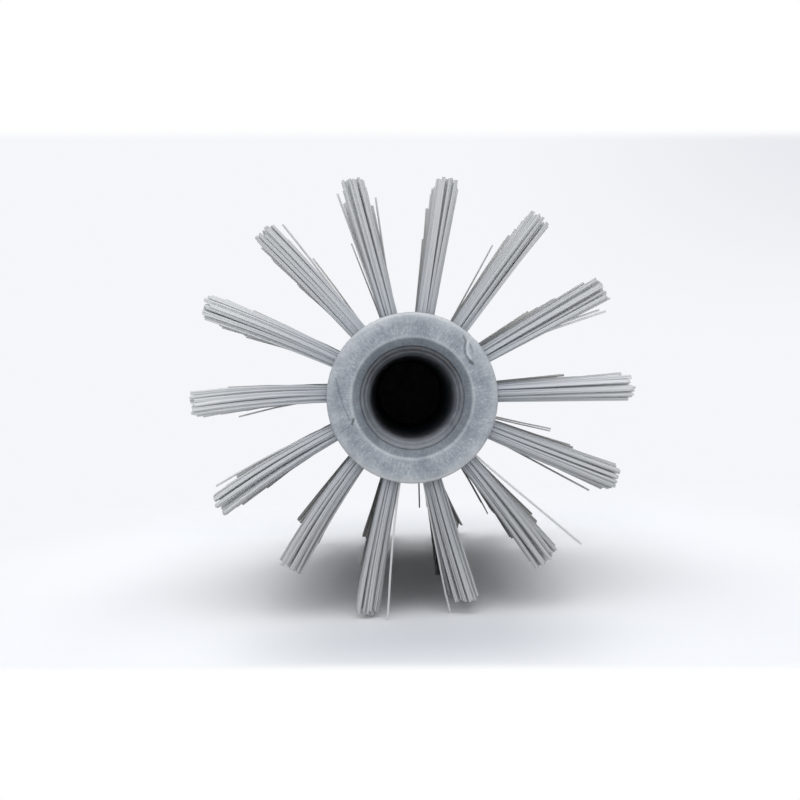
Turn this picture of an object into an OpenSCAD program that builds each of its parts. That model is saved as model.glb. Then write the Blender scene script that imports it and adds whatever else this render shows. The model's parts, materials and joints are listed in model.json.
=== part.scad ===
// Cleaning brush: a roller with straight rows of staple-set nylon tufts.
// X is right, Y runs along the roller from the open end to the drive end, Z is up.
// The roller stands on the trimmed tips of its two lowest rows, at Z = 0.

/* [Core] */
// Outer diameter of the turned plastic core
core_d = 50; // [46:0.5:60]
// Length of the core, face to face
core_len = 200; // [150:1:320]
// How far the hollow between the sockets stands clear of the spigot, all round
hollow_relief = 0.5; // [0.2:0.1:1.5]
// Radius of the rounded outer rim at each face
rim_r = 1.6; // [0.5:0.1:2]

/* [Sockets] */
// Width of the countersink round each socket, at the face
mouth_flare = 2.2; // [0.5:0.1:3]
// Depth of the countersink
mouth_depth = 3; // [1:0.1:5]
// Length of each socket
socket_len = 15; // [10:0.5:25]
// Wall left between a socket and the slices that hold the tufts
socket_wall = 2.7; // [2.2:0.1:4]
// Radial gap at the glued fits
fit_gap = 0.03; // [0:0.01:0.1]

/* [Tufts] */
// Number of rows of tufts round the core
rows = 14; // [10:1:16]
// Number of tufts in each row
tufts_per_row = 22; // [10:1:30]
// Diameter across the trimmed bristle tips
trim_d = 131; // [100:1:160]
// Distance from each face to the middle of the nearest tuft
end_margin = 6; // [5:0.5:20]
// Width of a tuft where it leaves the core
tuft_base = 5.5; // [3:0.1:6]
// Width of a tuft at its tip, across the row
tip_across = 8.4; // [6:0.1:12]
// Gap between the tips of neighbouring tufts in a row
tip_gap = 1.5; // [0.5:0.1:4]
// Most that a corner of a tip falls short of the trim
tip_ragged = 1.6; // [0:0.1:4]
// Most that a tip leans to one side of its row
tip_lean = 0.6; // [0:0.1:1.5]
// Depth of the flats on the tips that the roller stands on
floor_flat = 0.5; // [0.2:0.1:1]

/* [Backing strips] */
// How far the slice of core that holds a row runs past its tufts at the sides
strip_side = 0.25; // [0.1:0.05:0.5]
// How far the slice runs past its end tufts
strip_past = 0.75; // [0.2:0.05:1.5]
// Depth that a tuft is let into the slice
tuft_root = 2; // [1:0.1:4]

/* [Wire anchors] */
// How far each end of an anchor bites past its tuft, along the row
anchor_bite = 0.4; // [0.1:0.1:0.8]
// Height of an anchor, outwards
anchor_h = 1.8; // [1:0.1:3]
// Thickness of an anchor
anchor_t = 0.6; // [0.3:0.1:1.2]

/* [End bush] */
// Depth of the bush behind the countersink
bush_recess = 0.5; // [0:0.1:2]
// Bore of the bush, which takes the idler spigot
land_d = 25; // [22:0.1:27]
// Wall of the bush at its bore
bush_wall = 2.8; // [2:0.1:3.5]
// Wall of the bush at its first, outer step
first_step_wall = 0.9; // [0.5:0.1:1.2]
// Wall of the bush at its second step
second_step_wall = 1.9; // [1.3:0.1:2]
// Length of each step
step_len = 2; // [1:0.1:3]

/* [Drive plug] */
// Length of the plug's shank in the hollow
shank_len = 20; // [10:1:40]
// Width of the drive slot across the plug's face
slot_w = 8; // [5:0.5:10]
// Depth of the drive slot
slot_depth = 6; // [3:0.5:8]
// Diameter of the pilot bore
pilot_d = 12; // [8:0.5:16]
// Length of the pilot bore below the slot
pilot_len = 20; // [10:1:24]
// Diameter of the keys on the plug's joint line
key_d = 3; // [2:0.5:3.5]
// Length of each key
key_len = 12; // [8:0.5:14]

/* [Hidden] */
$fn = 96;
// Overshoot of a cutting shape past the surface it cuts
over = 1;
// Number of flats that round each rim
rim_steps = 3;
socket_d = land_d + 2 * bush_wall;
mouth_d = socket_d + 2 * mouth_flare;
hollow_d = land_d + 2 * hollow_relief;
tip_r = trim_d / 2;
front_y = -core_len / 2;
back_y = core_len / 2;
tuft_pitch = (core_len - 2 * end_margin) / (tufts_per_row - 1);
tip_along = tuft_pitch - tip_gap;
anchor_len = tuft_base + 2 * anchor_bite;
tufts_len = core_len - 2 * end_margin + tuft_base;
strip_w = tuft_base + 2 * strip_side;
strip_len = tufts_len + 2 * strip_past;
strip_floor_r = socket_d / 2 + socket_wall;
// The flat top of a slice lies level with the edges of its slot in the round core
strip_top_r = sqrt(pow(core_d / 2, 2) - pow(strip_w / 2 + fit_gap, 2));
root_r = core_d / 2 - tuft_root;
bush_y = front_y + mouth_depth + bush_recess;
bush_len = socket_len - bush_recess;
plug_y = back_y - mouth_depth;

function row_angle(row) = row * 360 / rows;
function tuft_y(tuft) = front_y + end_margin + tuft * tuft_pitch;
// How far below the axis the lowest corner of a row's full-length tips lies
function row_drop(row) =
    -tip_r * sin(row_angle(row)) + (tip_across / 2 + tip_lean) * abs(cos(row_angle(row)));
deepest_drop = max([for (row = [0:rows - 1]) row_drop(row)]);
axis_z = deepest_drop - floor_flat;

function two_digits(n) = n < 10 ? str("0", n) : str(n);
function row_node(row) = str("tuft_row_", two_digits(row + 1));
function anchor_node(row) = str("anchors_row_", two_digits(row + 1));

// Places a shape that is turned about Z onto the roller's axis, starting at y
module on_axis(y) {
    translate([0, y, axis_z]) rotate([-90, 0, 0]) children();
}

// Places a shape in a row: X points outwards, Y along the row and Z across it
module in_row(row) {
    translate([0, 0, axis_z]) rotate([0, -row_angle(row), 0]) children();
}

// Points of a rounded rim, from the face at t = 0 to the side of the core at t = 1
function rim_point(t) =
    [core_d / 2 - rim_r + rim_r * sin(90 * t), rim_r - rim_r * cos(90 * t)];

// Half section of the solid core, with rounded rims
module core_section() {
    rim = [for (k = [0:rim_steps]) rim_point(k / rim_steps)];
    far_rim = [for (k = [rim_steps:-1:0]) [rim[k][0], core_len - rim[k][1]]];
    polygon(concat([[0, 0]], rim, far_rim, [[0, core_len]]));
}

// Countersunk mouth and socket, cut inwards from a face at the origin
module socket_cut() {
    translate([0, 0, -over])
        cylinder(h = over + mouth_depth + socket_len, d = socket_d);
    cylinder(h = mouth_depth, d1 = mouth_d, d2 = socket_d);
    translate([0, 0, -over]) cylinder(h = over, d = mouth_d);
}

// The two round keys stand on the joint line between plug and core
module key_shapes(extra) {
    for (side = [-1, 1])
        translate([side * socket_d / 2, 0, -extra])
            cylinder(h = key_len + extra, d = key_d, $fn = 48);
}

// Places what is drawn inwards from the drive end's plug face
module from_plug_face() {
    translate([0, plug_y, axis_z]) rotate([90, 0, 0]) children();
}

module core() {
    color("#9aa0a6") difference() {
        on_axis(front_y) rotate_extrude() core_section();
        on_axis(front_y - over) cylinder(h = core_len + 2 * over, d = hollow_d);
        on_axis(front_y) socket_cut();
        translate([0, back_y, axis_z]) rotate([90, 0, 0]) socket_cut();
        from_plug_face() key_shapes(mouth_depth);
        for (row = [0:rows - 1])
            in_row(row)
                translate([strip_floor_r, -strip_len / 2, -strip_w / 2 - fit_gap])
                    cube([core_d / 2 - strip_floor_r + over, strip_len, strip_w + 2 * fit_gap]);
    }
}

module end_bush() {
    color("#8b9096") on_axis(bush_y) difference() {
        cylinder(h = bush_len, d = socket_d - 2 * fit_gap);
        translate([0, 0, -over]) cylinder(h = bush_len + 2 * over, d = land_d);
        translate([0, 0, -over])
            cylinder(h = over + step_len, d = socket_d - 2 * first_step_wall);
        cylinder(h = 2 * step_len, d = socket_d - 2 * second_step_wall);
    }
}

module drive_plug() {
    color("#5c6066") from_plug_face() difference() {
        union() {
            cylinder(h = socket_len, d = socket_d - 2 * fit_gap);
            cylinder(h = socket_len + shank_len, d = hollow_d - 2 * fit_gap);
        }
        translate([-slot_w / 2, -socket_d / 2, -over])
            cube([slot_w, socket_d, over + slot_depth]);
        cylinder(h = slot_depth + pilot_len, d = pilot_d);
        key_shapes(over);
    }
}

module plug_keys() {
    color("#c9ccd0") from_plug_face() key_shapes(0);
}

// How much of its full length a corner of a tip has, from a repeating pattern
function corner_share(row, tuft, corner) =
    1 - tip_ragged * ((5 * row + 3 * tuft + 7 * corner) % 8) / 7 / (tip_r - root_r);
// How far a tip leans across its row, from a repeating pattern
function lean(row, tuft) = tip_lean * ((3 * row + 5 * tuft) % 7 - 3) / 3;

// One tuft as a four-sided strand that widens from its root to a ragged tip
module strand(row, tuft) {
    signs = [[-1, -1], [1, -1], [1, 1], [-1, 1]];
    root = [for (s = signs) [root_r, s[0] * tuft_base / 2, s[1] * tuft_base / 2]];
    full = [for (s = signs)
        [tip_r, s[0] * tip_along / 2, s[1] * tip_across / 2 + lean(row, tuft)]];
    tip = [for (c = [0:3])
        root[c] + (full[c] - root[c]) * corner_share(row, tuft, c)];
    sides = [for (c = [0:3], half = [0, 1]) let (n = (c + 1) % 4)
        half == 0 ? [c, n + 4, n] : [c, c + 4, n + 4]];
    ends = [[0, 1, 2], [0, 2, 3], [6, 5, 4], [7, 6, 4]];
    translate([0, tuft_y(tuft), 0])
        polyhedron(points = concat(root, tip), faces = concat(sides, ends));
}

module anchor(tuft) {
    translate([strip_floor_r, tuft_y(tuft) - anchor_len / 2, -anchor_t / 2])
        cube([anchor_h, anchor_len, anchor_t]);
}

// The slice of the core's outer layer that a row is set in, grooved for its anchors
module backing_slice() {
    groove_len = tufts_len + 2 * anchor_bite;
    difference() {
        translate([strip_floor_r, -strip_len / 2, -strip_w / 2])
            cube([strip_top_r - strip_floor_r, strip_len, strip_w]);
        translate([strip_floor_r - over, -groove_len / 2, -anchor_t / 2])
            cube([anchor_h + over, groove_len, anchor_t]);
    }
}

module tuft_row(row) {
    color("#dfe2e3") difference() {
        in_row(row) union() {
            backing_slice();
            for (tuft = [0:tufts_per_row - 1]) strand(row, tuft);
        }
        if (row_drop(row) > axis_z)
            translate([-core_d, -core_len, -core_d]) cube([2 * core_d, 2 * core_len, core_d]);
    }
}

module anchors_row(row) {
    color("#b5b7ba") in_row(row)
        for (tuft = [0:tufts_per_row - 1]) anchor(tuft);
}

core();
end_bush();
drive_plug();
plug_keys();
for (row = [0:rows - 1]) {
    tuft_row(row);
    anchors_row(row);
}
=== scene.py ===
"""Looks for the roller brush: machined grey plastic core, stepped bush and tufts of pale nylon filament."""
import json
import math

import bpy
import numpy as np
from mathutils import Matrix, Vector


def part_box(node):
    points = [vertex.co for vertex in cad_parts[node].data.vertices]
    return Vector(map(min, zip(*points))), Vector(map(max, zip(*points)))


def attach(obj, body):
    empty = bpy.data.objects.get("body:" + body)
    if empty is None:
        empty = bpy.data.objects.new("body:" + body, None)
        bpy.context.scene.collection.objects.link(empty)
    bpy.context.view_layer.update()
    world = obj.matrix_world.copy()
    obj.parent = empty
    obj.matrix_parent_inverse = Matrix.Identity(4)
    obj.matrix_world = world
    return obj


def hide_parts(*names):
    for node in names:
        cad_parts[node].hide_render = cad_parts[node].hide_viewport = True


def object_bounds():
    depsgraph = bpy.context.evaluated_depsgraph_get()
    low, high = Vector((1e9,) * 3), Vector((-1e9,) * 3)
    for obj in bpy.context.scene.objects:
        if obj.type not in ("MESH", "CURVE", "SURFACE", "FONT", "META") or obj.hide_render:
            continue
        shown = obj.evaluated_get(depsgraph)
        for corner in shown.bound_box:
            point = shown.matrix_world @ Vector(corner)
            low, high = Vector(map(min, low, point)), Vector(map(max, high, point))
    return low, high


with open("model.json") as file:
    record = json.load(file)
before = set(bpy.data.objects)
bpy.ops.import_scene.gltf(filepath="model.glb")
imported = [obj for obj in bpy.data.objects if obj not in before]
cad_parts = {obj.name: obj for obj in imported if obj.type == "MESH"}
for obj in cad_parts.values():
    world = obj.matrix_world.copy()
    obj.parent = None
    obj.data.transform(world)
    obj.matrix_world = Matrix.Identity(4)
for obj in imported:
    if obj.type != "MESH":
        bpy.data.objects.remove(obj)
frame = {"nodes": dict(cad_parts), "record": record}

cad_low, cad_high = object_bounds()

MM = 0.001
TAU = 2 * math.pi

# Sizes that repeat the CAD model's driving dimensions, in metres
mounts = {m["name"]: m for m in frame["record"]["mounts"]}
AXIS_Z = mounts["idler_bore"]["pos_m"][2]
LAND_R = mounts["idler_bore"]["dims"]["r_mm"] * MM
core_low, core_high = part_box("core")
bush_low, bush_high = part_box("end_bush")
CORE_R = (core_high.x - core_low.x) / 2
FRONT_Y = core_low.y
BACK_Y = core_high.y
TIP_R = cad_high.x
SOCKET_R = 15.3 * MM
ROWS = 14
TUFTS = 22
END_MARGIN = 6 * MM
HOLE_R = 2.8 * MM
PITCH = (BACK_Y - FRONT_Y - 2 * END_MARGIN) / (TUFTS - 1)

# How far each row is out of its even place, in degrees: at its holes and at its tips
ROW_LEAN = (
    (0.8, 0.3), (2.2, 2.0), (2.0, 1.1), (1.4, 1.5), (0.7, 0.3), (-1.5, 1.2), (-3.4, -0.4),
    (-4.6, -0.3), (-3.6, 1.4), (-4.3, 0.7), (-3.8, -1.4), (-1.3, 0.0), (0.2, -1.7), (1.0, 1.7),
)


def tuft_y(tuft):
    """Where a tuft's hole is along the roller."""
    return FRONT_Y + END_MARGIN + tuft * PITCH


# What the camera is matched to, in pixels of the photograph's 800 x 800 frame
PHOTO_SIZE = 800
FOCAL_PX = 1193
VANISHING_PX = (403, 382)
FACE_CENTRE_PX = (412.25, 397.9)
CORE_RADIUS_PX = 85.95
ROLL_DEG = 2.2
# How far behind the face the core's outline is seen, round its rim
OUTLINE_DEPTH = 1.6 * MM
SENSOR_WIDTH = 36
NEAREST_SEEN = 0.01
FURTHEST_SEEN = 20


def pixel_ray(px):
    """Direction of a pixel of the photograph in the camera's own axes."""
    half = PHOTO_SIZE / 2
    return Vector(((px[0] - half) / FOCAL_PX, (half - px[1]) / FOCAL_PX, -1))


def make_camera():
    """Sees the roller's axis run to the vanishing point, and the near face at its place and size."""
    along = pixel_ray(VANISHING_PX).normalized()
    roll = math.radians(ROLL_DEG)
    up = Vector((-math.sin(roll), math.cos(roll), 0))
    up = (up - along * up.dot(along)).normalized()
    right = along.cross(up)
    axes = Matrix((right, along, up))
    distance = CORE_R * FOCAL_PX / CORE_RADIUS_PX - OUTLINE_DEPTH
    face = Vector((0, FRONT_Y, AXIS_Z))
    data = bpy.data.cameras.new("camera")
    data.sensor_width = SENSOR_WIDTH
    data.lens = FOCAL_PX / PHOTO_SIZE * data.sensor_width
    data.clip_start = NEAREST_SEEN
    data.clip_end = FURTHEST_SEEN
    camera = bpy.data.objects.new("camera", data)
    place = axes.to_4x4()
    place.translation = face - axes @ (pixel_ray(FACE_CENTRE_PX) * distance)
    camera.matrix_world = place
    bpy.context.scene.collection.objects.link(camera)
    bpy.context.scene.camera = camera


class Nodes:
    """Short calls for building a material's nodes."""

    def __init__(self, name):
        self.material = bpy.data.materials.new(name)
        self.material.use_nodes = True
        self.tree = self.material.node_tree
        self.shader = self.tree.nodes["Principled BSDF"]

    def add(self, kind, **settings):
        node = self.tree.nodes.new(kind)
        for key, value in settings.items():
            setattr(node, key, value)
        return node

    def join(self, source, target):
        self.tree.links.new(source, target)

    def feed(self, socket, value):
        """Links a socket to another one, or sets it to a plain value."""
        if isinstance(value, bpy.types.NodeSocket):
            self.join(value, socket)
        else:
            socket.default_value = value

    def math(self, operation, *values):
        node = self.add("ShaderNodeMath", operation=operation)
        for socket, value in zip(node.inputs, values):
            self.feed(socket, value)
        return node.outputs[0]

    def chain(self, operation, first, *rest):
        """Joins any number of values by one operation, from the left."""
        for value in rest:
            first = self.math(operation, first, value)
        return first

    def times(self, *values):
        return self.chain("MULTIPLY", *values)

    def plus(self, *values):
        return self.chain("ADD", *values)

    def most(self, *values):
        return self.chain("MAXIMUM", *values)

    def size_of(self, value):
        return self.math("ABSOLUTE", value)

    def vector(self, x, y, z):
        node = self.add("ShaderNodeCombineXYZ")
        for socket, value in zip(node.inputs, (x, y, z)):
            self.feed(socket, value)
        return node.outputs[0]

    def split(self, vector):
        node = self.add("ShaderNodeSeparateXYZ")
        self.join(vector, node.inputs[0])
        return node.outputs

    def object_place(self):
        return self.add("ShaderNodeTexCoord").outputs["Object"]

    def vmath(self, operation, first, second=None, scale=None):
        node = self.add("ShaderNodeVectorMath", operation=operation)
        for socket, value in zip(node.inputs, (first, second)):
            if value is not None:
                self.feed(socket, value)
        if scale is not None:
            self.feed(node.inputs["Scale"], scale)
        return node.outputs["Value"] if operation in ("LENGTH", "DOT_PRODUCT") else node.outputs[0]

    def noise(self, vector, scale, detail=2.0, roughness=0.5, output="Fac"):
        node = self.add("ShaderNodeTexNoise")
        self.join(vector, node.inputs["Vector"])
        node.inputs["Scale"].default_value = scale
        node.inputs["Detail"].default_value = detail
        node.inputs["Roughness"].default_value = roughness
        return node.outputs[output]

    def ramp(self, value, low, high, out_low=0.0, out_high=1.0, smooth=True):
        """Runs from one output to the other while the value runs from low to high, and is level beyond."""
        node = self.add("ShaderNodeMapRange", interpolation_type="SMOOTHSTEP" if smooth else "LINEAR")
        names = ("Value", "From Min", "From Max", "To Min", "To Max")
        for name, number in zip(names, (value, low, high, out_low, out_high)):
            self.feed(node.inputs[name], number)
        return node.outputs[0]

    def ramp_mm(self, value, low, high, *outputs, **settings):
        """A ramp between two lengths in millimetres."""
        return self.ramp(value, low * MM, high * MM, *outputs, **settings)

    def blend(self, share, first, second):
        """Mixes two numbers."""
        node = self.add("ShaderNodeMix")
        for name, value in (("Factor", share), ("A", first), ("B", second)):
            self.join(value, node.inputs[name])
        return node.outputs[0]

    def mix(self, share, first, second):
        """Mixes two colours."""
        node = self.add("ShaderNodeMix", data_type="RGBA")
        self.feed(node.inputs["Factor"], share)
        for name, value in (("A", first), ("B", second)):
            socket = [s for s in node.inputs if s.name == name and s.type == "RGBA"][0]
            self.feed(socket, value if isinstance(value, bpy.types.NodeSocket) else (*value, 1))
        return [s for s in node.outputs if s.type == "RGBA"][0]

    def coat(self, colour, roughness):
        self.feed(self.shader.inputs["Base Color"], colour)
        self.feed(self.shader.inputs["Roughness"], roughness)

    def bump(self, height, strength, distance):
        node = self.add("ShaderNodeBump")
        node.inputs["Strength"].default_value = strength
        node.inputs["Distance"].default_value = distance
        self.join(height, node.inputs["Height"])
        self.join(node.outputs["Normal"], self.shader.inputs["Normal"])


class RollerNodes(Nodes):
    """Nodes that know a point's place on the roller: across, along, up from the axis and radius from it."""

    def __init__(self, name):
        super().__init__(name)
        self.across, self.along, height = self.split(self.object_place())
        self.up = self.math("SUBTRACT", height, AXIS_Z)
        squares = self.plus(self.times(self.across, self.across), self.times(self.up, self.up))
        self.radius = self.math("SQRT", squares)
        self.place = self.vector(self.across, self.along, self.up)

    def line_gap(self, place, points):
        """How far a point of the flat face is from a broken line, given in millimetres across and up."""
        gaps = []
        for a, b in zip(points, points[1:]):
            start = (a[0] * MM, a[1] * MM, 0)
            run = ((b[0] - a[0]) * MM, (b[1] - a[1]) * MM, 0)
            square = run[0] ** 2 + run[1] ** 2
            offset = self.vmath("SUBTRACT", place, start)
            share = self.vmath("DOT_PRODUCT", offset, tuple(c / square for c in run))
            share = self.math("MINIMUM", self.math("MAXIMUM", share, 0.0), 1.0)
            nearest = self.vmath("SCALE", run, scale=share)
            gaps.append(self.vmath("LENGTH", self.vmath("SUBTRACT", offset, nearest)))
        return self.chain("MINIMUM", *gaps)

    def mark(self, place, points, fade, full, strength):
        """A mark along a broken line, at its full strength near it and gone at its fade, in millimetres."""
        return self.times(self.ramp_mm(self.line_gap(place, points), fade, full), strength)


def grey(level, blue=0.0):
    return (level * (1 - blue), level, level * (1 + blue))


# Noises of the core, each: (scale, detail, roughness)
STREAKS = (47.0, 5.0, 0.75)
CORE_CLOUDS = (150.0, 4.0, 0.65)
CORE_GRAIN = (1300.0, 4.0, 0.8)
CORE_RINGS = (2200.0, 3.0, 0.6)
STAINS = (330.0, 3.0, 0.6)
WANDER_SCALE = 900.0
WANDER = 0.5 * MM
# How fast a streak changes along it, and how slowly a ring does
STREAK_CHANGE = 9.0
RING_CHANGE = 0.04

# Shares of the core's tone: clouds, grain, and streaks or rings
CLOUD_SHARE = 0.4
GRAIN_SHARE = 0.3
LINE_SHARE = 0.3

CORE_DARK = (0.185, 0.21, 0.25)
CORE_LIGHT = (0.385, 0.415, 0.46)
FLECK_COLOUR = (0.52, 0.55, 0.58)
WEAR_AND_HIGHLIGHT_COLOUR = (0.53, 0.55, 0.575)
CORNER_HIGHLIGHT_COLOUR = (0.74, 0.76, 0.78)
CONE_SHADE_COLOUR = (0.135, 0.15, 0.175)
STAIN_COLOUR = (0.16, 0.135, 0.12)
TORN_COLOUR = (0.58, 0.60, 0.625)
CUT_SHADE_COLOUR = grey(0.10, 0.10)

# Tones where a look comes in, each: (none yet, full), with its outputs there where they aren't 0 and 1
CORE_TONES = (0.40, 0.60)
FLECKS_IN = (1.02, 1.22)
FLECK_CLOUDS_IN = (0.38, 0.56)
WORN_PATCHES = (0.4, 0.95, 0.4, 1.0)
STAINS_IN = (0.6, 0.7)
CORE_ROUGHNESS = (0.3, 0.7, 0.62, 0.45)
# How strongly a look shows
FLECK_STRENGTH = 0.6
EDGE_STRENGTH = 0.55
WORN_GRAIN = 0.5
CORNER_HIGHLIGHT_STRENGTH = 0.5
CONE_SHADE_STRENGTH = 0.42
STAIN_STRENGTH = 0.35
TORN_RISE = 0.6
CUT_DEPTH = 1.6
# Bumps: (strength, distance)
CORE_BUMP = (0.5, 0.2 * MM)

# Heights from the axis, up or down, at which the rim and the corner get paler with painted highlight, in
# millimetres
RIM_HEIGHT = (4, 16, 0.45, 0.65)
CORNER_HEIGHT = (12, 24)
# Radii of the core between which a look comes in, in millimetres: (none yet, full)
SIDE_IN = (24.7, 24.95)
RIM_IN = (20.8, 24.4)
CORNER_IN = (23.6, 24.5)
EDGE_IN = (17.15, 17.6)
EDGE_OUT = (18.6, 17.7)
CONE_IN = (17.4, 17.0)
CONE_OUT = (15.0, 15.4)

# Damage on the near face, as broken lines in millimetres from the axis: (across, up)
FLAP_GROOVE = (
    (15.5, 17.3), (16.1, 15.7), (15.7, 14.1), (15.7, 12.5), (16.2, 11.1), (16.9, 10.2), (17.5, 9.4),
)
FLAP_EDGE = ((16.8, 15.9), (16.4, 13.6), (16.7, 11.9), (17.4, 10.9))
FLAP_SIDE = ((17.4, 14.8), (17.7, 13.8), (18.0, 12.4))
FLAP_PIT = ((17.1, 9.9), (17.7, 9.2))
NOTCH = ((-17.2, -5.6), (-17.7, -6.9))
SCRATCH = ((-21.9, 6.4), (-21.0, 2.3), (-20.4, 0.0), (-19.9, -2.1), (-19.2, -3.8), (-18.3, -5.8))
HAIRLINE = ((-18.4, -7.5), (-19.8, -8.4), (-21.3, -9.3))
# Marks with unsteady edges, each: (line, where it fades out, where it is full, strength)
# The dark marks and the notch are painted shade in the cuts, groove, pit and scratches
DARK_MARKS = (
    (FLAP_GROOVE, 0.55, 0.1, 0.62), (FLAP_PIT, 0.75, 0.2, 0.9), (FLAP_SIDE, 0.35, 0.05, 0.42),
    (SCRATCH, 0.4, 0.05, 0.42), (HAIRLINE, 0.3, 0.05, 0.4),
)
CLEAN_MARK = (NOTCH, 0.5, 0.15, 0.85)
LIGHT_MARK = (FLAP_EDGE, 0.55, 0.1, 0.7)
# How deep behind the face the damage ends and is full, in millimetres
FACE_DEPTH = (3.5, 1.0)


def core_wear_and_painted_light(n, colour, streaks, clouds, grain, side):
    """Adds flecks, pale edges of wear and painted highlight, painted shade in the cone with stains, and a
    painted highlight on the corner at top and bottom.
    """
    flecks = n.times(n.ramp(n.plus(grain, streaks), *FLECKS_IN), n.ramp(clouds, *FLECK_CLOUDS_IN))
    colour = n.mix(n.times(flecks, FLECK_STRENGTH), colour, FLECK_COLOUR)
    height = n.size_of(n.up)
    # Pale rim and chamfer edge: wear in patches, with painted highlight on the rim towards top and bottom and
    # along the edge
    rim = n.times(n.ramp_mm(n.radius, *RIM_IN), n.ramp_mm(height, *RIM_HEIGHT))
    edge = n.times(n.ramp_mm(n.radius, *EDGE_IN), n.ramp_mm(n.radius, *EDGE_OUT))
    patches = n.ramp(n.plus(clouds, n.times(grain, WORN_GRAIN)), *WORN_PATCHES)
    wear_and_highlight = n.times(n.plus(rim, n.times(edge, EDGE_STRENGTH)), patches)
    colour = n.mix(wear_and_highlight, colour, WEAR_AND_HIGHLIGHT_COLOUR)
    # Painted highlight on the rounded corner, at top and bottom
    corner = n.times(n.ramp_mm(n.radius, *CORNER_IN), n.ramp_mm(height, *CORNER_HEIGHT))
    face = n.ramp(side, 1.0, 0.0)
    colour = n.mix(n.times(corner, CORNER_HIGHLIGHT_STRENGTH, face), colour, CORNER_HIGHLIGHT_COLOUR)
    # Painted shade: the sunk cone is darker all round
    cone = n.times(n.ramp_mm(n.radius, *CONE_IN), n.ramp_mm(n.radius, *CONE_OUT))
    colour = n.mix(n.times(cone, CONE_SHADE_STRENGTH), colour, CONE_SHADE_COLOUR)
    stain = n.times(n.ramp(n.noise(n.place, *STAINS), *STAINS_IN), cone)
    return n.mix(n.times(stain, STAIN_STRENGTH), colour, STAIN_COLOUR)


def face_damage(n):
    """How dark, with painted shade, and how pale the near face is where it is cut, torn and scratched."""
    fade, full = FACE_DEPTH
    front = n.ramp(n.along, FRONT_Y + fade * MM, FRONT_Y + full * MM)
    flat = n.vector(n.across, n.up, 0.0)
    wander = n.vmath("SUBTRACT", n.noise(n.place, WANDER_SCALE, output="Color"), (0.5, 0.5, 0.5))
    shaken = n.vmath("ADD", flat, n.vmath("SCALE", wander, scale=WANDER))
    shaken = n.vmath("MULTIPLY", shaken, (1.0, 1.0, 0.0))
    darkest = n.most(*(n.mark(shaken, *mark) for mark in DARK_MARKS), n.mark(flat, *CLEAN_MARK))
    return n.times(darkest, front), n.times(n.mark(shaken, *LIGHT_MARK), front)


def core_plastic():
    """Turned grey plastic: radial streaks on the faces, rings on the side, pale edges of wear and painted
    highlight, painted shade in the cone and the cuts, and scuffs.
    """
    n = RollerNodes("core_plastic")
    round_x, round_z = (n.math("DIVIDE", value, n.radius) for value in (n.across, n.up))
    streaks = n.noise(n.vector(round_x, round_z, n.times(n.radius, STREAK_CHANGE)), *STREAKS)
    clouds = n.noise(n.place, *CORE_CLOUDS)
    grain = n.noise(n.place, *CORE_GRAIN)
    slow_x, slow_z = (n.times(value, RING_CHANGE) for value in (n.across, n.up))
    rings = n.noise(n.vector(slow_x, n.along, slow_z), *CORE_RINGS)
    side = n.ramp_mm(n.radius, *SIDE_IN)
    lines = n.blend(side, streaks, rings)
    tone = n.plus(n.times(clouds, CLOUD_SHARE), n.times(grain, GRAIN_SHARE), n.times(lines, LINE_SHARE))
    colour = n.mix(n.ramp(tone, *CORE_TONES, smooth=False), CORE_DARK, CORE_LIGHT)
    colour = core_wear_and_painted_light(n, colour, streaks, clouds, grain, side)
    dark, light = face_damage(n)
    colour = n.mix(light, colour, TORN_COLOUR)
    colour = n.mix(dark, colour, CUT_SHADE_COLOUR)
    n.coat(colour, n.ramp(tone, *CORE_ROUGHNESS))
    n.bump(n.math("SUBTRACT", n.plus(tone, n.times(light, TORN_RISE)), n.times(dark, CUT_DEPTH)), *CORE_BUMP)
    return n.material


# The bush, with its noises as (scale, detail, roughness)
BUSH_CLOUDS = (300.0, 3.0, 0.6)
BUSH_RINGS = (3500.0, 2.0, 0.6)
RUST_SPECKS = (420.0, 2.0, 0.5)
BUSH_CLOUD_SHARE = 0.6
BUSH_RING_SHARE = 0.4
BUSH_TONES = (0.35, 0.65)
BUSH_ROUGHNESS = (0.3, 0.7, 0.5, 0.36)
BUSH_BUMP = (0.3, 0.15 * MM)
BUSH_DARK = (0.125, 0.135, 0.155)
BUSH_LIGHT = (0.21, 0.225, 0.25)
BUSH_TOP_SHADE = (0.035, 0.037, 0.043)
BUSH_BOTTOM_LIGHT = (0.44, 0.46, 0.49)
RUST_COLOUR = (0.19, 0.12, 0.08)
RUST_STRENGTH = 0.6
RUST_TONES = (0.66, 0.72)
RUST_IN = (13.2, 14.2)
# Where the bush gets painted shade at the top and painted light at the bottom, as heights in radii: (none
# yet, full, from, to)
BUSH_TOP_SHADE_IN = (0.1, 0.7, 0.0, 0.58)
BUSH_BOTTOM_LIGHT_IN = (-0.6, -0.97, 0.0, 0.27)


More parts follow.
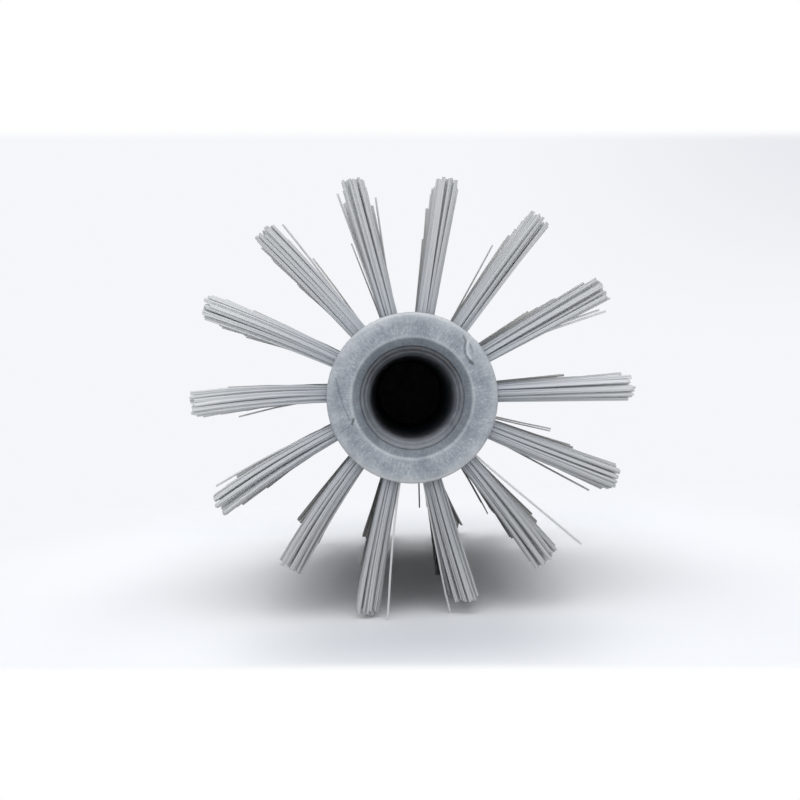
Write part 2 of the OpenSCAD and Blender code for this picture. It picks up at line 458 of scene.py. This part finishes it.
def bush_plastic():
    """Turned plastic with fine rings, painted shade at the top and painted light at the bottom, with a few
    rusty specks.
    """
    n = RollerNodes("bush_plastic")
    clouds = n.noise(n.place, *BUSH_CLOUDS)
    rings = n.noise(n.vector(0.0, n.along, n.radius), *BUSH_RINGS)
    tone = n.plus(n.times(clouds, BUSH_CLOUD_SHARE), n.times(rings, BUSH_RING_SHARE))
    colour = n.mix(n.ramp(tone, *BUSH_TONES), BUSH_DARK, BUSH_LIGHT)
    height = n.math("DIVIDE", n.up, n.radius)
    colour = n.mix(n.ramp(height, *BUSH_TOP_SHADE_IN), colour, BUSH_TOP_SHADE)
    colour = n.mix(n.ramp(height, *BUSH_BOTTOM_LIGHT_IN), colour, BUSH_BOTTOM_LIGHT)
    specks = n.ramp(n.noise(n.place, *RUST_SPECKS), *RUST_TONES)
    rust = n.times(specks, n.ramp_mm(n.radius, *RUST_IN))
    colour = n.mix(n.times(rust, RUST_STRENGTH), colour, RUST_COLOUR)
    n.coat(colour, n.ramp(tone, *BUSH_ROUGHNESS))
    n.bump(tone, *BUSH_BUMP)
    return n.material


# The filaments: (scale, detail, roughness) of their grain, and colours as (darkest, palest)
NYLON_GRAIN = (700.0, 2.0, 0.6)
TONE_SHARE = 0.85
SHADED_ROOT_COLOURS = ((0.42, 0.44, 0.47), (0.54, 0.565, 0.605))
TIP_COLOURS = ((0.64, 0.65, 0.66), (0.75, 0.765, 0.785))
ROOT_TO_TIP = (27, 60)
LONE_LIGHT_COLOUR = (0.86, 0.865, 0.87)
LONE_TONES = (1.2, 2.0)
LOW_SHADE_COLOUR = (0.26, 0.265, 0.275)
TOP_SHADE_COLOUR = (0.45, 0.455, 0.46)
DEEP_SHADE_COLOUR = (0.57, 0.56, 0.525)
DEEP_FROM = 22 * MM
DEEP_TO = 90 * MM
DEEP_SHADE_STRENGTH = 0.4
# Where the filaments get greyer with painted shade, in millimetres from the axis: (none yet, full, from, to)
LOW_SHADE_IN = (2, -46, 0.0, 0.45)
TOP_SHADE_IN = (15, 46, 0.0, 0.42)
# How much height and place across count for in that
LOW_SHADE_UP = 0.98
LOW_SHADE_ACROSS = -0.1
TOP_SHADE_ACROSS = 0.25
NYLON_ROUGHNESS = (0.3, 0.7, 0.65, 0.5)
NYLON_GLOSS = 0.25
NYLON_BUMP = (0.1, 0.03 * MM)


def nylon():
    """Pale filament, each a little lighter or darker than the next, with painted shade towards the core."""
    n = RollerNodes("bristle_nylon")
    tone = n.add("ShaderNodeAttribute", attribute_name="tone").outputs["Fac"]
    grain = n.noise(n.place, *NYLON_GRAIN)
    share = n.plus(n.times(tone, TONE_SHARE), n.times(grain, 1 - TONE_SHARE))
    root = n.mix(share, *SHADED_ROOT_COLOURS)
    tip = n.mix(share, *TIP_COLOURS)
    # Painted shade: darker towards the core, between the rows
    colour = n.mix(n.ramp_mm(n.radius, *ROOT_TO_TIP, smooth=False), root, tip)
    # Painted light: lone filaments are paler
    colour = n.mix(n.ramp(tone, *LONE_TONES), colour, LONE_LIGHT_COLOUR)
    # Painted shade: greyer low down, more so to the right
    low = n.plus(n.times(n.up, LOW_SHADE_UP), n.times(n.across, LOW_SHADE_ACROSS))
    colour = n.mix(n.ramp_mm(low, *LOW_SHADE_IN), colour, LOW_SHADE_COLOUR)
    # Painted shade: a little greyer at the top and deep inside too
    high = n.plus(n.up, n.times(n.across, TOP_SHADE_ACROSS))
    colour = n.mix(n.ramp_mm(high, *TOP_SHADE_IN), colour, TOP_SHADE_COLOUR)
    deep = n.ramp(n.along, FRONT_Y + DEEP_FROM, FRONT_Y + DEEP_TO, 0.0, DEEP_SHADE_STRENGTH, smooth=False)
    colour = n.mix(deep, colour, DEEP_SHADE_COLOUR)
    n.coat(colour, n.ramp(grain, *NYLON_ROUGHNESS))
    n.shader.inputs["Specular IOR Level"].default_value = NYLON_GLOSS
    n.bump(grain, *NYLON_BUMP)
    return n.material


# The nodes that keep their CAD shape, with their noises as (scale, detail, roughness)
PLUG_CLOUDS = (300.0, 3.0, 0.6)
PLUG_TONES = (0.3, 0.7)
PLUG_COLOURS = (grey(0.012), grey(0.03))
PLUG_ROUGHNESS = 0.5
PLUG_BUMP = (0.2, 0.2 * MM)
STEEL_GRAIN = (400.0, 3.0, 0.6)
STEEL_STRETCH = 8.0
STEEL_COLOURS = (grey(0.42), grey(0.62))
STEEL_ROUGHNESS = 0.35


def plug_plastic():
    """Black turned plastic."""
    n = RollerNodes("plug_plastic")
    clouds = n.noise(n.place, *PLUG_CLOUDS)
    n.coat(n.mix(n.ramp(clouds, *PLUG_TONES), *PLUG_COLOURS), PLUG_ROUGHNESS)
    n.bump(clouds, *PLUG_BUMP)
    return n.material


def steel():
    """Drawn steel wire and pin."""
    n = RollerNodes("steel")
    fine_x, fine_z = (n.times(value, STEEL_STRETCH) for value in (n.across, n.up))
    drawn = n.noise(n.vector(fine_x, n.along, fine_z), *STEEL_GRAIN)
    n.coat(n.mix(drawn, *STEEL_COLOURS), STEEL_ROUGHNESS)
    n.shader.inputs["Metallic"].default_value = 1.0
    return n.material


def make_piece(name, vertices, faces, material, smooth_angle):
    """A mesh object that rides on the roller, with edges sharper than the angle left sharp."""
    mesh = bpy.data.meshes.new(name)
    mesh.from_pydata(vertices, [], faces)
    mesh.materials.append(material)
    mesh.polygons.foreach_set("use_smooth", [True] * len(mesh.polygons))
    mesh.set_sharp_from_angle(angle=math.radians(smooth_angle))
    mesh.update()
    piece = bpy.data.objects.new(name, mesh)
    bpy.context.scene.collection.objects.link(piece)
    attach(piece, "root")
    return piece


def polar(radius, turn, y):
    """A point at a radius and turn (radians) about the roller's axis."""
    return (radius * math.cos(turn), y, AXIS_Z + radius * math.sin(turn))


def join_loops(faces, first, second):
    """Adds the faces between two closed loops of vertices."""
    for k in range(len(first)):
        after = (k + 1) % len(first)
        faces.append((first[k], first[after], second[after], second[k]))


# Core: every tuft has a cell of the side wall, with its hole inside
CELL_SIDE = 8
AROUND = ROWS * CELL_SIDE
HOLE_SINK = 2.4
# A hole from its surround over its raised lip to its bottom: (share of its radius, height in millimetres)
HOLE_PROFILE = ((1.35, 0.0), (1.08, 0.05), (1.0, 0.03), (0.96, -0.3), (0.94, -HOLE_SINK))
# Near rim, face and socket of the core, in millimetres: (radius, depth behind the face)
CORE_PROFILE = (
    (25, 2.4), (24.97, 1.7), (24.86, 1.15), (24.62, 0.7), (24.2, 0.38), (23.6, 0.18), (22.8, 0.07),
    (21.8, 0.01), (20.8, 0), (19.6, 0), (18.5, 0), (17.95, 0.01), (17.72, 0.07), (17.52, 0.22), (17.4, 0.4),
    (16.9, 1.0), (16.2, 1.9), (15.5, 2.8), (15.3, 3.15), (15.3, 10), (15.3, 18), (13, 18),
)
CORE_SMOOTH_DEG = 40


def core_rings():
    """Profile from the first tuft cells over the near face, through the bore and back to the last cells."""
    near = [(r * MM, y * MM) for r, y in CORE_PROFILE]
    return [(r, FRONT_Y + y) for r, y in near] + [(r, BACK_Y - y) for r, y in reversed(near)]


def core_mesh():
    vertices = []
    faces = []

    def ring(radius, y):
        start = len(vertices)
        vertices.extend(polar(radius, TAU * (k - CELL_SIDE / 2) / AROUND, y) for k in range(AROUND))
        return range(start, start + AROUND)

    rings = core_rings()
    profile = [ring(r, y) for r, y in rings]
    for first, second in zip(profile, profile[1:]):
        join_loops(faces, first, second)
    # Side wall: vertices on the borders of the cells are shared
    borders = [rings[0][1]] + [tuft_y(t + 0.5) for t in range(TUFTS - 1)] + [rings[-1][1]]
    border_rings = [profile[0]] + [ring(CORE_R, y) for y in borders[1:-1]] + [profile[-1]]
    for tuft in range(TUFTS):
        low, high = borders[tuft], borders[tuft + 1]
        sides = []
        for row in range(ROWS):
            start = len(vertices)
            for k in range(1, CELL_SIDE):
                y = low + (high - low) * k / CELL_SIDE
                vertices.append(polar(CORE_R, TAU * (row - 0.5) / ROWS, y))
            sides.append(list(range(start, len(vertices))))
        for row in range(ROWS):
            spots = [(row * CELL_SIDE + k) % AROUND for k in range(CELL_SIDE + 1)]
            bottom = [border_rings[tuft][spot] for spot in spots]
            top = [border_rings[tuft + 1][spot] for spot in spots]
            left, right = sides[row], sides[(row + 1) % ROWS]
            border = bottom + right + top[::-1] + left[::-1]
            turn = TAU * row / ROWS + math.radians(ROW_LEAN[row][0])
            add_hole(vertices, faces, border, turn, tuft_y(tuft))
    return vertices, faces


def add_hole(vertices, faces, border, turn, centre_y):
    """Fills a cell's border with a drilled hole with a slightly raised lip."""
    places = []
    for index in border:
        x, y, z = vertices[index]
        angle = math.atan2(z - AXIS_Z, x) - turn
        angle = (angle + math.pi) % TAU - math.pi
        places.append((angle * CORE_R, y - centre_y))
    outer = border
    for share, height in HOLE_PROFILE:
        inner = []
        for place in places:
            length = math.hypot(*place)
            across, along = (c / length * HOLE_R * share for c in place)
            inner.append(len(vertices))
            vertices.append(polar(CORE_R + height * MM, turn + across / CORE_R, centre_y + along))
        join_loops(faces, outer, inner)
        outer = inner
    faces.append(tuple(outer))


def make_core(material):
    piece = make_piece("roller_core", *core_mesh(), material, CORE_SMOOTH_DEG)
    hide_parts("core")


# Bush: rounded rings lead in to its bore, in millimetres: (radius, depth behind the bush's front)
BUSH_AROUND = 240
BUSH_PROFILE = (
    (15.27, 0.24), (15.16, 0.15), (15.0, 0.07), (14.77, 0.02), (14.5, 0.0), (14.3, 0.08), (14.16, 0.3),
    (14.08, 0.65), (14.0, 1.0), (13.86, 1.12), (13.72, 1.08), (13.6, 1.0), (13.42, 0.98), (13.2, 1.15),
    (13.0, 1.55), (12.84, 2.1), (12.68, 2.8), (12.56, 3.4), (12.5, 4.0),
)
BUSH_PLAY = 0.03 * MM
BUSH_SMOOTH_DEG = 35
# The inner ring is the start of a slow spiral, which runs out over the last of its turn
SPIRAL_LIFT = 0.22
SPIRAL_START = 0.45
SPIRAL_END_STEEPNESS = 12
# Radii in millimetres where the spiral is gone, and the widths over which it comes in
SPIRAL_OUTER = 14.3
SPIRAL_OUTER_FADE = 0.5
SPIRAL_INNER = 12.5
SPIRAL_INNER_FADE = 0.35


def unit(value):
    """Keeps a value between 0 and 1."""
    return max(0, min(1, value))


def bush_mesh():
    vertices = []
    for k in range(BUSH_AROUND):
        turn = TAU * k / BUSH_AROUND
        way = (turn / TAU + SPIRAL_START) % 1
        lift = SPIRAL_LIFT * (way - 0.5) * min(1, SPIRAL_END_STEEPNESS * (1 - way))
        profile = [(SOCKET_R - BUSH_PLAY, bush_high.y)]
        for r, y in BUSH_PROFILE:
            share = unit((SPIRAL_OUTER - r) / SPIRAL_OUTER_FADE)
            share *= unit((r - SPIRAL_INNER) / SPIRAL_INNER_FADE)
            profile.append((max((r + lift * share) * MM, LAND_R), bush_low.y + y * MM))
        profile.append((LAND_R, bush_high.y))
        vertices += [polar(r, turn, y) for r, y in profile]
    per_spoke = len(vertices) // BUSH_AROUND
    faces = []
    for k in range(BUSH_AROUND):
        spoke, after = k * per_spoke, (k + 1) % BUSH_AROUND * per_spoke
        for s in range(per_spoke):
            up = (s + 1) % per_spoke
            faces.append((spoke + s, after + s, after + up, spoke + up))
    return vertices, faces


def make_bush(material):
    piece = make_piece("stepped_bush", *bush_mesh(), material, BUSH_SMOOTH_DEG)
    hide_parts("end_bush")


# Bristles: filaments stand in clumps, which spread from the hole to the tips
SEED = 100
FILAMENT_R = 0.34 * MM
CLUMPS = 19
PER_CLUMP = 3
CLUMP_R = 0.25 * MM
TIP_ACROSS = 3.35 * MM
TIP_ALONG = 3.5 * MM
TIP_FILL = 1.03
TIP_SHIFT = 0.09
CLUMP_SPREAD = 1.15
FILAMENT_SHIFT = 0.05 * MM
SPREAD_POWER = 0.95
BEND = 0.12 * MM
TONE_OF_CLUMP = 0.7
# How ragged the tips are: by clump and by filament
CLUMP_SHORT = 0.85 * MM
FILAMENT_SHORT = 0.4 * MM
# Steps along a filament and sides of its tube, in the tufts that are seen closely and in the others
NEAR_TUFTS = 3
NEAR_DETAIL = (6, 7)
FAR_DETAIL = (3, 5)
BRISTLE_SMOOTH_DEG = 75
# Room between a filament's centre line and the CAD model's outline, the floor and the model's top
TIP_ROOM = 0.1 * MM
FLOOR_GAP = 0.36 * MM
HIGHEST = cad_high.z - 0.2 * MM
# Tufts that lean sideways out of their row, in degrees: (row, tuft): lean
TUFT_LEAN = {
    (0, 19): 1.5, (1, 17): 0.3, (1, 21): 0.8, (2, 7): 0.8, (3, 7): 0.8, (3, 16): 1.4, (6, 3): 1.0,
    (6, 9): -1.6, (6, 10): 1.6, (7, 8): -2.0, (8, 6): -1.6, (9, 12): -3.6, (10, 9): -1.4, (10, 18): -3.3,
    (11, 8): -4.3, (11, 9): -3.4, (11, 21): 4.0, (12, 1): 1.8, (12, 2): 1.2, (12, 9): 3.3, (12, 11): 3.6,
    (12, 21): -1.6,
}
# The other tufts lean by chance, apart from the nearest ones of each row
USUAL_LEAN = 0.45
STEADY_TUFTS = 2
# How much shorter the nearest tuft of a row is, in millimetres, and over how many tufts that wears off
NEAR_SHORT = {4: -1.5, 5: -0.8, 6: -2.0, 8: -0.5, 9: 3.0, 11: 3.0, 12: 2.5}
SHORT_TUFTS = 3
# Single filaments out of their tuft, in millimetres:
# (row, tuft, root across, tip across, tip along, tip radius)
STRAYS = (
    (1, 0, 0.5, -6.4, 0, 62), (1, 0, 1.0, -5.1, 0, 60.5), (12, 0, 2.6, 11.4, -3, 64.8),
    (13, 20, 2.2, 8.8, 0, 64.5), (13, 20, 1.6, 7.8, 0, 64.5), (10, 0, 2.4, 6.9, -5, 66),
    (11, 0, -2.5, -5.9, 2, 66), (11, 19, -2.0, -8.6, 0, 50), (11, 19, -1.0, -5.2, 0, 50.5),
    (12, 18, -2.0, -5.0, 0, 56), (7, 20, 1.0, -3.0, 0, 51), (4, 1, 2.0, 5.4, 0, 65),
    (4, 4, -1.5, -5.7, 0, 65), (4, 15, 2.2, 7.2, 0, 65), (5, 1, -1.5, -5.9, 0, 65),
    (5, 13, -2.0, -7.7, 0, 65), (2, 12, 2.0, 6.6, 0, 65), (12, 21, -2.0, -5.2, 0, 65),
    (12, 17, -2.0, -4.6, 0, 65), (13, 4, -2.0, -7.6, 0, 65), (8, 1, -2.0, -5.6, 0, 65),
    (7, 11, 1.5, 6.7, 0, 64.2),
)
STRAY_POWER = 1.15
ROOT_OUT = CORE_R - HOLE_SINK * MM


def tuft_spots(turn):
    """Places of the clumps spread evenly over a unit disc, which is turned."""
    k = np.arange(CLUMPS) + 0.5
    radius = np.sqrt(k / CLUMPS)
    spread = k * math.pi * (3 - math.sqrt(5))
    spots = np.stack([radius * np.cos(spread), radius * np.sin(spread)], axis=1)
    return spots @ np.array([[math.cos(turn), math.sin(turn)], [-math.sin(turn), math.cos(turn)]])


def filament_lines(random, steps, centre_y, slope, cropped):
    """Centre lines of one tuft, as (outwards, along, across) from the middle of its hole, and their tones."""
    centres = tuft_spots(random.random() * TAU)
    clump = np.repeat(np.arange(CLUMPS), PER_CLUMP)
    evenly = np.tile(np.arange(PER_CLUMP) / PER_CLUMP, CLUMPS)
    turns = TAU * (evenly + random.random(CLUMPS)[clump])
    close = CLUMP_R * np.column_stack([np.cos(turns), np.sin(turns)])
    root = centres[clump] * (HOLE_R - FILAMENT_R - CLUMP_R) + close
    spread = centres * TIP_FILL + random.normal(0, TIP_SHIFT, (CLUMPS, 2))
    shift = random.normal(0, FILAMENT_SHIFT, root.shape)
    tip = spread[clump] * np.array([TIP_ALONG, TIP_ACROSS]) + close * CLUMP_SPREAD + shift
    tip[:, 0] = np.clip(tip[:, 0], FRONT_Y + FILAMENT_R - centre_y, BACK_Y - FILAMENT_R - centre_y)
    short = np.abs(random.normal(0, CLUMP_SHORT, CLUMPS))[clump]
    short = short + np.abs(random.normal(0, FILAMENT_SHORT, len(clump)))
    # The tips end on a round, so a filament that leans reaches less far out
    length = TIP_R - TIP_ROOM - short - cropped
    length = np.sqrt(length ** 2 - (tip[:, 1] + length * slope) ** 2)
    bend = random.normal(0, BEND, (CLUMPS, 2))[clump]
    lines = []
    for s in range(steps + 1):
        t = s / steps
        out = ROOT_OUT + t * (length - ROOT_OUT)
        side = root + (tip - root) * t ** SPREAD_POWER + bend * math.sin(math.pi * t)
        side[:, 1] += out * slope * t
        lines.append(np.column_stack([out, side]))
    tones = TONE_OF_CLUMP * random.random(CLUMPS)[clump] + (1 - TONE_OF_CLUMP) * random.random(len(clump))
    return np.stack(lines, axis=1), tones


def stray_lines(row, tuft, steps, slope):
    """Centre lines of the filaments that have left a tuft, with their tones."""
    t = np.linspace(0, 1, steps + 1)
    for root_across, tip_across, tip_along, tip_radius in (s[2:] for s in STRAYS if s[:2] == (row, tuft)):
        out = ROOT_OUT + t * (tip_radius * MM - ROOT_OUT)
        across = (root_across + (tip_across - root_across) * t ** STRAY_POWER) * MM + out * slope * t
        yield np.column_stack([out, tip_along * MM * t, across])[None], np.array([LONE_TONES[1]])


def to_world(lines, turn, centre_y):
    """Turns (outwards, along, across) into places, above the floor and within the CAD model's height."""
    out, along, across = (lines[..., axis] for axis in range(3))
    x = out * math.cos(turn) - across * math.sin(turn)
    z = AXIS_Z + out * math.sin(turn) + across * math.cos(turn)
    return np.stack([x, centre_y + along, np.clip(z, FLOOR_GAP, HIGHEST)], axis=-1)


def tubes(lines, sides):
    """Vertices and faces of a thin closed tube round each line."""
    count, rings = lines.shape[:2]
    ahead = np.gradient(lines, axis=1)
    ahead /= np.linalg.norm(ahead, axis=2, keepdims=True)
    side = np.cross(ahead, np.array([0.0, 1.0, 0.0]))
    side /= np.linalg.norm(side, axis=2, keepdims=True)
    other = np.cross(ahead, side)
    turns = TAU * np.arange(sides) / sides
    wheel = side[:, :, None] * np.cos(turns)[:, None] + other[:, :, None] * np.sin(turns)[:, None]
    points = lines[:, :, None] + FILAMENT_R * wheel
    index = np.arange(count * rings * sides).reshape(count, rings, sides)
    after = np.roll(index, -1, axis=2)
    walls = np.stack([index[:, :-1], index[:, 1:], after[:, 1:], after[:, :-1]], axis=-1).reshape(-1, 4)
    ends = index[:, 0].tolist() + index[:, -1, ::-1].tolist()
    return points.reshape(-1, 3), walls.tolist() + ends


def make_bristles(row, material):
    random = np.random.default_rng(SEED + row)
    root_lean, tip_lean = ROW_LEAN[row]
    turn = TAU * row / ROWS + math.radians(root_lean)
    vertices = []
    faces = []
    tones = []
    offset = 0
    for tuft in range(TUFTS):
        near = tuft < NEAR_TUFTS or tuft == TUFTS - 1
        steps, sides = NEAR_DETAIL if near else FAR_DETAIL
        centre_y = tuft_y(tuft)
        chance_lean = random.normal(0, USUAL_LEAN) if tuft >= STEADY_TUFTS else 0
        slope = math.radians(tip_lean - root_lean + TUFT_LEAN.get((row, tuft), chance_lean))
        cropped = NEAR_SHORT.get(row, 0) * MM * max(0, 1 - tuft / SHORT_TUFTS)
        bundles = [filament_lines(random, steps, centre_y, slope, cropped)]
        bundles += stray_lines(row, tuft, steps, slope)
        for lines, tone in bundles:
            points, walls = tubes(to_world(lines, turn, centre_y), sides)
            vertices.append(points)
            faces += [tuple(index + offset for index in face) for face in walls]
            tones.append(np.repeat(tone, (steps + 1) * sides))
            offset += len(points)
    places = np.concatenate(vertices).tolist()
    piece = make_piece(f"bristles_{row + 1:02d}", places, faces, material, BRISTLE_SMOOTH_DEG)
    attribute = piece.data.attributes.new("tone", "FLOAT", "POINT")
    attribute.data.foreach_set("value", np.concatenate(tones).astype(np.float32))
    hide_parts(f"tuft_row_{row + 1:02d}")


def dress_cad_nodes():
    """Gives the nodes that keep their CAD shape their finish."""
    black = plug_plastic()
    metal = steel()
    for name, node in frame["nodes"].items():
        if name in ("drive_plug", "plug_keys") or name.startswith("anchors"):
            node.data.materials.clear()
            node.data.materials.append(black if name == "drive_plug" else metal)


# Floor and backdrop: one pale sweep, in metres
FLOOR_HALF = 3.0
SWEEP_START = 1.2
SWEEP_R = 0.5
SWEEP_TURNS = np.linspace(0.1, math.pi / 2, 16)
WALL_TOP = 3.0

# Colours of the paper: the one that it lights the roller with, and the ones that are seen, by their place,
# some darkened with painted shade
PAPER_LIT = grey(0.72, 0.01)
PAPER_NEAR = (0.93, 0.94, 0.965)
PAPER_RIGHT_SHADE = (0.83, 0.84, 0.87)
PAPER_LEFT_SHADE = (0.85, 0.86, 0.89)
PAPER_BEHIND_SHADE = (0.73, 0.745, 0.775)
PAPER_SHADE = (0.72, 0.745, 0.79)
PAPER_FAR = (0.915, 0.925, 0.955)
PAPER_FAR_RIGHT_SHADE = (0.80, 0.81, 0.855)
PAPER_FIBRES = (0.8, 0.8, 0.8)
PAPER_BORDER = (1.0, 1.0, 1.0)
FIBRE_NOISE = (60.0, 3.0, 0.6)
FIBRE_STRENGTH = 0.04
PAPER_ROUGHNESS = 0.7

# Where the paper's looks come in, in metres: (none yet, full)
RIGHT_IN = (0.03, 0.10)
LEFT_IN = (-0.05, -0.10)
BEHIND_IN = (0.03, 0.2)
FAR_ACROSS = (0.08, 0.22)
FAR_BEHIND = (0.10, 0.3)
FAR_RIGHT_ACROSS = (0.1, 0.9)
FAR_RIGHT_UP = (0.1, 0.5)
BORDER_UP = (0.50, 0.525)
BORDER_BEFORE = (-0.150, -0.162)
# How much the two borders slope to the right
BORDER_UP_SLOPE = 0.0384
BORDER_BEFORE_SLOPE = 0.147

# The soft shade in front of the roller, and the light that lifts the darkest of its shadow
SHADE_CENTRE = (0.004, -0.128, 0.0)
SHADE_STRETCH = (1.0, 1.6, 1.0)
SHADE_R = 0.07
SHADE_STRENGTH = 0.85
LIFT_X = 0.012
LIFT_ACROSS = (0.07, 0.025)
LIFT_ALONG = (0.1, 0.04)
LIFT_COLOUR = (0.93, 0.96, 1.0, 1)
LIFT_STRENGTH = 0.03


def near_paper(n, x, y, z):
    """Colour of the paper round the roller, darker to its sides and behind it with painted shade, and with a
    soft painted shade in front of it.
    """
    offset = n.vmath("SUBTRACT", n.vector(x, y, z), SHADE_CENTRE)
    gap = n.vmath("LENGTH", n.vmath("MULTIPLY", offset, SHADE_STRETCH))
    colour = n.mix(n.ramp(x, *RIGHT_IN), PAPER_NEAR, PAPER_RIGHT_SHADE)
    colour = n.mix(n.ramp(x, *LEFT_IN), colour, PAPER_LEFT_SHADE)
    colour = n.mix(n.ramp(y, *BEHIND_IN), colour, PAPER_BEHIND_SHADE)
    return n.mix(n.times(n.ramp(gap, SHADE_R, 0.0), SHADE_STRENGTH), colour, PAPER_SHADE)


def paper():
    """Pale paper that keeps shadows near the roller, with painted shade and a little painted light added
    there, and is plain and bright further off, apart from painted shade to the upper right.
    """
    n = Nodes("paper")
    seen = n.add("ShaderNodeLightPath").outputs["Is Camera Ray"]
    place = n.object_place()
    x, y, z = n.split(place)
    n.coat(n.mix(seen, PAPER_LIT, near_paper(n, x, y, z)), PAPER_ROUGHNESS)
    lift = n.ramp(n.size_of(n.math("SUBTRACT", x, LIFT_X)), *LIFT_ACROSS)
    lift = n.times(lift, n.ramp(n.size_of(y), *LIFT_ALONG), seen)
    n.shader.inputs["Emission Color"].default_value = LIFT_COLOUR
    n.join(n.times(lift, LIFT_STRENGTH), n.shader.inputs["Emission Strength"])

    far = n.most(n.ramp(n.size_of(x), *FAR_ACROSS), n.ramp(y, *FAR_BEHIND))
    # Painted shade: the far paper is darker to the right and up the wall
    right = n.times(n.ramp(x, *FAR_RIGHT_ACROSS), n.ramp(z, *FAR_RIGHT_UP))
    colour = n.mix(right, PAPER_FAR, PAPER_FAR_RIGHT_SHADE)
    colour = n.mix(n.times(n.noise(place, *FIBRE_NOISE), FIBRE_STRENGTH), colour, PAPER_FIBRES)
    above = n.plus(z, n.times(x, BORDER_UP_SLOPE))
    before = n.plus(y, n.times(x, BORDER_BEFORE_SLOPE))
    border = n.most(n.ramp(above, *BORDER_UP), n.ramp(before, *BORDER_BEFORE))
    colour = n.mix(border, colour, PAPER_BORDER)
    glow = n.add("ShaderNodeEmission")
    n.join(colour, glow.inputs["Color"])
    blend = n.add("ShaderNodeMixShader")
    layers = (n.times(n.most(far, border), seen), n.shader.outputs[0], glow.outputs[0])
    for layer, socket in zip(layers, blend.inputs):
        n.join(layer, socket)
    n.join(blend.outputs[0], n.tree.nodes["Material Output"].inputs["Surface"])
    return n.material


def make_sweep():
    line = [(-FLOOR_HALF, 0), (SWEEP_START, 0)]
    line += [(SWEEP_START + SWEEP_R * math.sin(a), SWEEP_R * (1 - math.cos(a))) for a in SWEEP_TURNS]
    line.append((line[-1][0], WALL_TOP))
    vertices = [(x, y, z) for y, z in line for x in (-FLOOR_HALF, FLOOR_HALF)]
    faces = [(2 * k, 2 * k + 1, 2 * k + 3, 2 * k + 2) for k in range(len(line) - 1)]
    mesh = bpy.data.meshes.new("sweep")
    mesh.from_pydata(vertices, [], faces)
    mesh.materials.append(paper())
    mesh.polygons.foreach_set("use_smooth", [True] * len(mesh.polygons))
    sweep = bpy.data.objects.new("sweep", mesh)
    bpy.context.scene.collection.objects.link(sweep)


# Lamps, each: (place, width, height, watts)
LAMPS = {
    "low_back": ((0.0, 1.55, 0.9), 1.8, 0.36, 16.0),
    "front": ((0.0, -0.9, 1.0), 1.2, 1.2, 5.8),
}
WORLD_COLOUR = (0.965, 0.985, 1.0, 1)
WORLD_STRENGTH = 0.8


def make_lights():
    """A pale world and the two lamps, which face the roller's middle."""
    world = bpy.data.worlds.new("world")
    bpy.context.scene.world = world
    world.use_nodes = True
    back = world.node_tree.nodes["Background"]
    back.inputs["Color"].default_value = WORLD_COLOUR
    back.inputs["Strength"].default_value = WORLD_STRENGTH
    for name, (place, width, height, watts) in LAMPS.items():
        data = bpy.data.lights.new(name, "AREA")
        data.shape = "RECTANGLE"
        data.size = width
        data.size_y = height
        data.energy = watts
        lamp = bpy.data.objects.new(name, data)
        lamp.location = place
        lamp.rotation_euler = (Vector(place) - Vector((0, 0, AXIS_Z))).to_track_quat("Z", "Y").to_euler()
        bpy.context.scene.collection.objects.link(lamp)


make_camera()
make_core(core_plastic())
make_bush(bush_plastic())
bristle_material = nylon()
for bristle_row in range(ROWS):
    make_bristles(bristle_row, bristle_material)
dress_cad_nodes()
make_sweep()
make_lights()
bpy.context.scene.view_settings.view_transform = "Standard"
